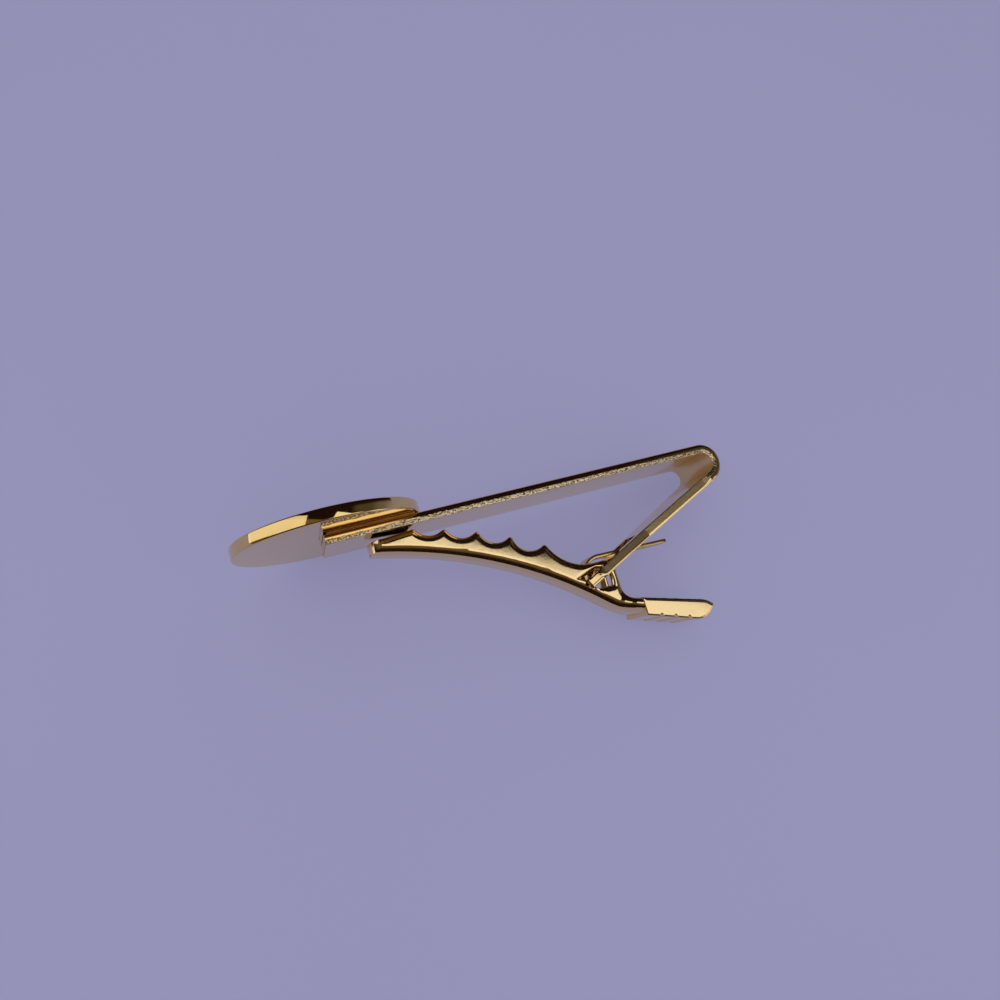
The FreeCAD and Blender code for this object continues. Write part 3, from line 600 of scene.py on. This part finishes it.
def outlineTree(bm, half):
    # points along the punched outline of the sides
    spots = []
    for edge in sharpEdges(bm, lambda edge: any(isSide(face, half) for face in edge.link_faces)):
        start, end = [vert.co for vert in edge.verts]
        count = max(2, int((end - start).length / lever["spotPitch"]))
        spots += [start.lerp(end, number / count) for number in range(count + 1)]
    tree = KDTree(len(spots))
    for number, spot in enumerate(spots):
        tree.insert(spot, number)
    tree.balance()
    return tree


def rollSides(bm, half, roll):
    # a fine grid on the sides, rounded over towards their punched outline
    tree = outlineTree(bm, half)
    for axis in (1, 0):
        sides = [face for face in bm.faces if isSide(face, half)]
        places = [vert.co[axis] for face in sides for vert in face.verts]
        way = Vector((axis == 0, axis == 1, 0))
        cutRows(bm, sides, way, steps(min(places), max(places), lever["cutPitch"]))
    sideVerts = {vert for face in bm.faces if isSide(face, half) for vert in face.verts}
    for vert in sideVerts:
        distance = tree.find(vert.co)[2]
        vert.co.z -= math.copysign(rolled(distance, *roll), vert.co.z)
    bm.normal_update()


def makeLever():
    bm = copyOfNode("lever")
    rollSides(bm, lever["padHalf"], lever["padRoll"])
    flareCuts = [lever["flareCut"], *steps(lever["flareCut"], lever["flareEnd"], lever["flarePitch"])]
    before = [face for face in bm.faces if face.calc_center_median().x < lever["flareEnd"]]
    cutRows(bm, before, Vector((1, 0, 0)), flareCuts)
    rollSides(bm, lever["halfWidth"], lever["wallRoll"])
    # the walls spread to the pad's width at the heel, low down first
    spread = lever["padHalf"] / lever["halfWidth"] - 1
    for vert in bm.verts:
        beforePad = vert.co.x < lever["flareEnd"] + lever["flareSlack"]
        if beforePad and abs(vert.co.z) < lever["halfWidth"] + lever["flareSlack"]:
            reached = vert.co.x - lever["flareLean"] * (vert.co.y - lever["flareLevel"])
            vert.co.z *= 1 + spread * eased(reached, lever["flareStart"], lever["flareEnd"])
    bmesh.ops.remove_doubles(bm, verts=bm.verts, dist=modelling["join"])
    bm.normal_update()
    return makePiece(bm, "toothedLever", polishedGold("leverGold", lever["look"]), crease=50)


toothedLever = makeLever()
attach(toothedLever, "jaw")
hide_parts("lever")


# leaf spring
spring = {
    "edge": 0.06 * mm, "edgeSteps": 3, "cutPitch": 0.3 * mm, "onPlane": 1e-8,
    "start": Vector((23.9, -12.0, 0)) * mm, "end": Vector((24.6, -14.0, 0)) * mm,
    "look": {"gold": (0.7, 0.48, 0.2, 1), "worn": (0.36, 0.21, 0.08, 1), "wear": 0.6, "polish": 0.17,
             "smudge": 0.12, "hairline": 0.1, "peel": 0.4, "peelScale": 1500.0, "bump": 0.25},
}


def makeSpring():
    bm = copyOfNode("leaf_spring")
    roundEdges(bm, sharpEdges(bm, lambda edge: True, least=50), spring["edge"], spring["edgeSteps"])
    low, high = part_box("leaf_spring")
    for number in range(1, int((high.x - low.x) / spring["cutPitch"])):
        place = low.x + number * spring["cutPitch"]
        bmesh.ops.bisect_plane(bm, geom=[*bm.verts, *bm.edges, *bm.faces], dist=spring["onPlane"],
                               plane_co=(place, 0, 0), plane_no=(1, 0, 0))
    bm.normal_update()
    return makePiece(bm, "leafSpring", polishedGold("springGold", spring["look"]))


leafSpring = makeSpring()
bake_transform(leafSpring)
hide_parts("leaf_spring")


# solder between the plate and the bar, dark brown: its own colour and painted shade of the thin gap along
# the joint
solder = {
    "look": {"gold": (0.3, 0.14, 0.06, 1), "worn": (0.12, 0.05, 0.03, 1), "wear": 0.8, "polish": 0.3,
             "smudge": 0.2, "hairline": 0.0, "peel": 1.0, "peelScale": 2500.0, "bump": 0.5},
}
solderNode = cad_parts["bond_film"]
solderNode.data.materials.clear()
# the seam's dark brown doubles as painted shade in the gap between plate and bar
solderNode.data.materials.append(polishedGold("solderSeamShade", solder["look"]))
print("solder dressed")


# floor, light and camera
studio = {
    "floorNormal": Vector((-0.1172, 0.1333, 0.9841)), "floorPoint": Vector((1.04, -1.08, -8.94)) * mm,
    "floorSize": 900 * mm, "floorColour": (0.288, 0.28, 0.462, 1), "floorGlow": 0.7,
    "floorTint": (0.3, 0.29, 0.475, 1), "floorDrop": 0.02 * mm, "floorRough": 0.45, "floorShine": 0.25,
    "worldFill": 0.92, "worldDark": (0.01, 0.004, 0.004),
    # sky that only the metal shows: by its x, dark to the north, and a warm glow low in the south
    "worldSide": [(0.45, (0.01, 0.004, 0.004)), (0.6, (0.07, 0.057, 0.042)), (0.77, (0.07, 0.057, 0.045)),
                  (0.93, (0.14, 0.13, 0.16)), (1.0, (0.26, 0.25, 0.4))],
    "worldNorth": [(0.22, 0.0), (0.32, 1.0)],
    "southWay": (-0.53, -0.848, 0), "worldSouth": (0.15, 0.105, 0.05, 1),
    "southGlow": [(0.0, 0.0), (0.03, 0.0), (0.06, 1.0), (0.35, 0.85), (0.75, 0.0)],
    "lamps": {
        "overhead": {"place": (71.0, -31.4, 150), "turn": (0, 0, -28.5), "size": (125, 62), "bright": 0.98},
        "left": {"place": (-110, 33, 61), "aim": (0, 0, 0), "size": (60, 200), "bright": 0.8},
        "low": {"place": (121, -82, 53), "aim": (28, -9, 0), "size": (70, 60), "bright": 0.95},
    },
}


def makeFloor():
    bm = bmesh.new()
    bmesh.ops.create_grid(bm, x_segments=2, y_segments=2, size=studio["floorSize"])
    turn = studio["floorNormal"].to_track_quat("Z", "Y")
    bmesh.ops.rotate(bm, verts=bm.verts, matrix=turn.to_matrix())
    place = studio["floorPoint"] - studio["floorNormal"] * studio["floorDrop"]
    bmesh.ops.translate(bm, verts=bm.verts, vec=place)
    mesh = bpy.data.meshes.new("paleFloor")
    bm.to_mesh(mesh)
    bm.free()
    material, tree, bsdf = startMaterial("paleSheet")
    bsdf.inputs["Roughness"].default_value = studio["floorRough"]
    bsdf.inputs["Specular IOR Level"].default_value = studio["floorShine"]
    spot = tree.nodes.new("ShaderNodeTexCoord")
    cloud = addNode(tree, "ShaderNodeTexNoise", Scale=14.0, Detail=3.0)
    tint = addNode(tree, "ShaderNodeMix", data_type="RGBA")
    tint.inputs[6].default_value = studio["floorColour"]
    tint.inputs[7].default_value = studio["floorTint"]
    wire(tree, spot, "Object", cloud, "Vector")
    wire(tree, cloud, "Fac", tint, "Factor")
    wire(tree, tint, 2, bsdf, "Base Color")
    # the sheet's own colour shows through its shadows, to the eye and in the metal
    ray = tree.nodes.new("ShaderNodeLightPath")
    looked = addNode(tree, "ShaderNodeMath", operation="MAXIMUM")
    share = addNode(tree, "ShaderNodeMath", operation="MULTIPLY")
    share.inputs[1].default_value = studio["floorGlow"]
    glow = tree.nodes.new("ShaderNodeEmission")
    soft = tree.nodes.new("ShaderNodeMixShader")
    wire(tree, ray, "Is Camera Ray", looked, 0)
    wire(tree, ray, "Is Glossy Ray", looked, 1)
    wire(tree, looked, "Value", share, 0)
    wire(tree, share, "Value", soft, "Fac")
    wire(tree, tint, 2, glow, "Color")
    wire(tree, bsdf, "BSDF", soft, 1)
    wire(tree, glow, "Emission", soft, 2)
    back = tree.nodes.new("ShaderNodeNewGeometry")
    clear = tree.nodes.new("ShaderNodeBsdfTransparent")
    pick = tree.nodes.new("ShaderNodeMixShader")
    leave = [node for node in tree.nodes if node.type == "OUTPUT_MATERIAL"][0]
    wire(tree, back, "Backfacing", pick, "Fac")
    wire(tree, soft, "Shader", pick, 1)
    wire(tree, clear, "BSDF", pick, 2)
    wire(tree, pick, "Shader", leave, "Surface")
    mesh.materials.append(material)
    floor = bpy.data.objects.new("paleFloor", mesh)
    scene.collection.objects.link(floor)


def makeWorld():
    world = bpy.data.worlds.new("studioRoom")
    world.use_nodes = True
    tree = world.node_tree
    tree.nodes.clear()
    leave = tree.nodes.new("ShaderNodeOutputWorld")
    ray = tree.nodes.new("ShaderNodeLightPath")
    direction = tree.nodes.new("ShaderNodeTexCoord")
    parts = tree.nodes.new("ShaderNodeSeparateXYZ")
    fill = addNode(tree, "ShaderNodeBackground", Color=(1, 1, 1, 1), Strength=studio["worldFill"])
    seen = addNode(tree, "ShaderNodeBackground", Color=studio["floorColour"], Strength=1.0)
    mirror = addNode(tree, "ShaderNodeBackground", Strength=1.0)
    side = ramp(tree, studio["worldSide"])
    north = ramp(tree, studio["worldNorth"])
    shaded = addNode(tree, "ShaderNodeMix", data_type="RGBA")
    shaded.inputs[7].default_value = (*studio["worldDark"], 1)
    toSouth = addNode(tree, "ShaderNodeVectorMath", operation="DOT_PRODUCT")
    toSouth.inputs[1].default_value = studio["southWay"]
    south = ramp(tree, studio["southGlow"])
    warm = addNode(tree, "ShaderNodeMix", data_type="RGBA")
    warm.inputs[7].default_value = studio["worldSouth"]
    forMetal = tree.nodes.new("ShaderNodeMixShader")
    forCamera = tree.nodes.new("ShaderNodeMixShader")
    wire(tree, direction, "Generated", parts, "Vector")
    wire(tree, parts, "X", side, "Fac")
    wire(tree, direction, "Generated", toSouth, 0)
    wire(tree, toSouth, "Value", south, "Fac")
    wire(tree, south, "Color", warm, "Factor")
    wire(tree, parts, "Y", north, "Fac")
    wire(tree, north, "Color", shaded, "Factor")
    wire(tree, side, "Color", shaded, 6)
    wire(tree, shaded, 2, warm, 6)
    wire(tree, warm, 2, mirror, "Color")
    wire(tree, ray, "Is Glossy Ray", forMetal, "Fac")
    wire(tree, fill, 0, forMetal, 1)
    wire(tree, mirror, 0, forMetal, 2)
    wire(tree, ray, "Is Camera Ray", forCamera, "Fac")
    wire(tree, forMetal, 0, forCamera, 1)
    wire(tree, seen, 0, forCamera, 2)
    wire(tree, forCamera, "Shader", leave, "Surface")
    scene.world = world


def makeLamps():
    for name, lamp in studio["lamps"].items():
        width, height = [side * mm for side in lamp["size"]]
        light = bpy.data.lights.new(name, "AREA")
        light.shape = "RECTANGLE"
        light.size, light.size_y = width, height
        light.energy = lamp["bright"] * math.pi * width * height
        holder = bpy.data.objects.new(name, light)
        holder.location = Vector(lamp["place"]) * mm
        if "aim" in lamp:
            aim = Vector(lamp["aim"]) * mm - holder.location
            holder.rotation_euler = aim.to_track_quat("-Z", "Y").to_euler()
        else:
            holder.rotation_euler = [math.radians(angle) for angle in lamp["turn"]]
        scene.collection.objects.link(holder)


view = {"place": Vector((-5.9517, -14.0745, 71.9338)) * mm, "turn": (0.250413, -0.254204, -0.299327),
        "sensor": 36, "lens": 27.036, "nearest": 1 * mm}


def makeCamera():
    lens = bpy.data.cameras.new("photoView")
    lens.sensor_width = view["sensor"]
    lens.lens = view["lens"]
    lens.clip_start = view["nearest"]
    camera = bpy.data.objects.new("photoView", lens)
    camera.location = view["place"]
    camera.rotation_euler = view["turn"]
    scene.collection.objects.link(camera)
    scene.camera = camera


makeFloor()
makeWorld()
makeLamps()
makeCamera()
print("stage, light and camera set")
